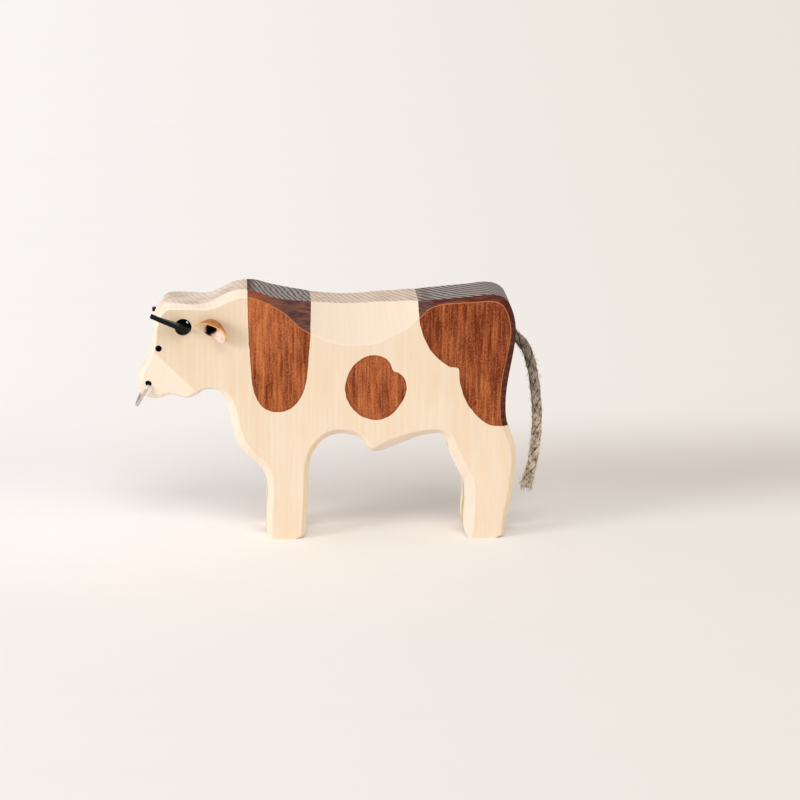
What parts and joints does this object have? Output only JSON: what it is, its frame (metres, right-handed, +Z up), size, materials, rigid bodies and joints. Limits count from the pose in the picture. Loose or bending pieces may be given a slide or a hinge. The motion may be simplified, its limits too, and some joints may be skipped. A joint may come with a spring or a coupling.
{
  "type": "carved wooden bull figurine",
  "caption": "Standing bull cut from a flat wooden slab with knife-bevelled edges, leather horns and ears through drilled holes, pin eyes, a swinging wire nose ring and a rope tail.",
  "frame": {"origin": "centre of the footprint at the soles of the feet: mid-length of the body, mid-thickness, floor level", "axes": "+Z up, -X towards the nose, +X towards the rump, -Y towards the bull's left side"},
  "size_m": [0.1536, 0.0416, 0.0948],
  "materials": {
    "wood": "bare pale wood with brown stained patches",
    "horn_leather": "smooth black leather",
    "ear_leather": "brown leather with a pale flesh side",
    "eye": "glossy black",
    "ring_wire": "bright drawn wire",
    "rope": "natural braided fibre rope"
  },
  "bodies": {
    "figure": {"body": "wood", "horn_strap": "horn_leather", "ear_strap": "ear_leather", "eye_pin_left": "eye", "eye_pin_right": "eye", "tail_rope": "rope"},
    "ring": {"nose_ring": "ring_wire"}
  },
  "joints": [
    {"name": "nose_ring_hinge", "type": "hinge", "parent": "figure", "child": "ring", "pos_m": [-0.06695, 0, 0.05786], "axis": [0, 1, 0], "range_deg": [-33, 66]}
  ]
}
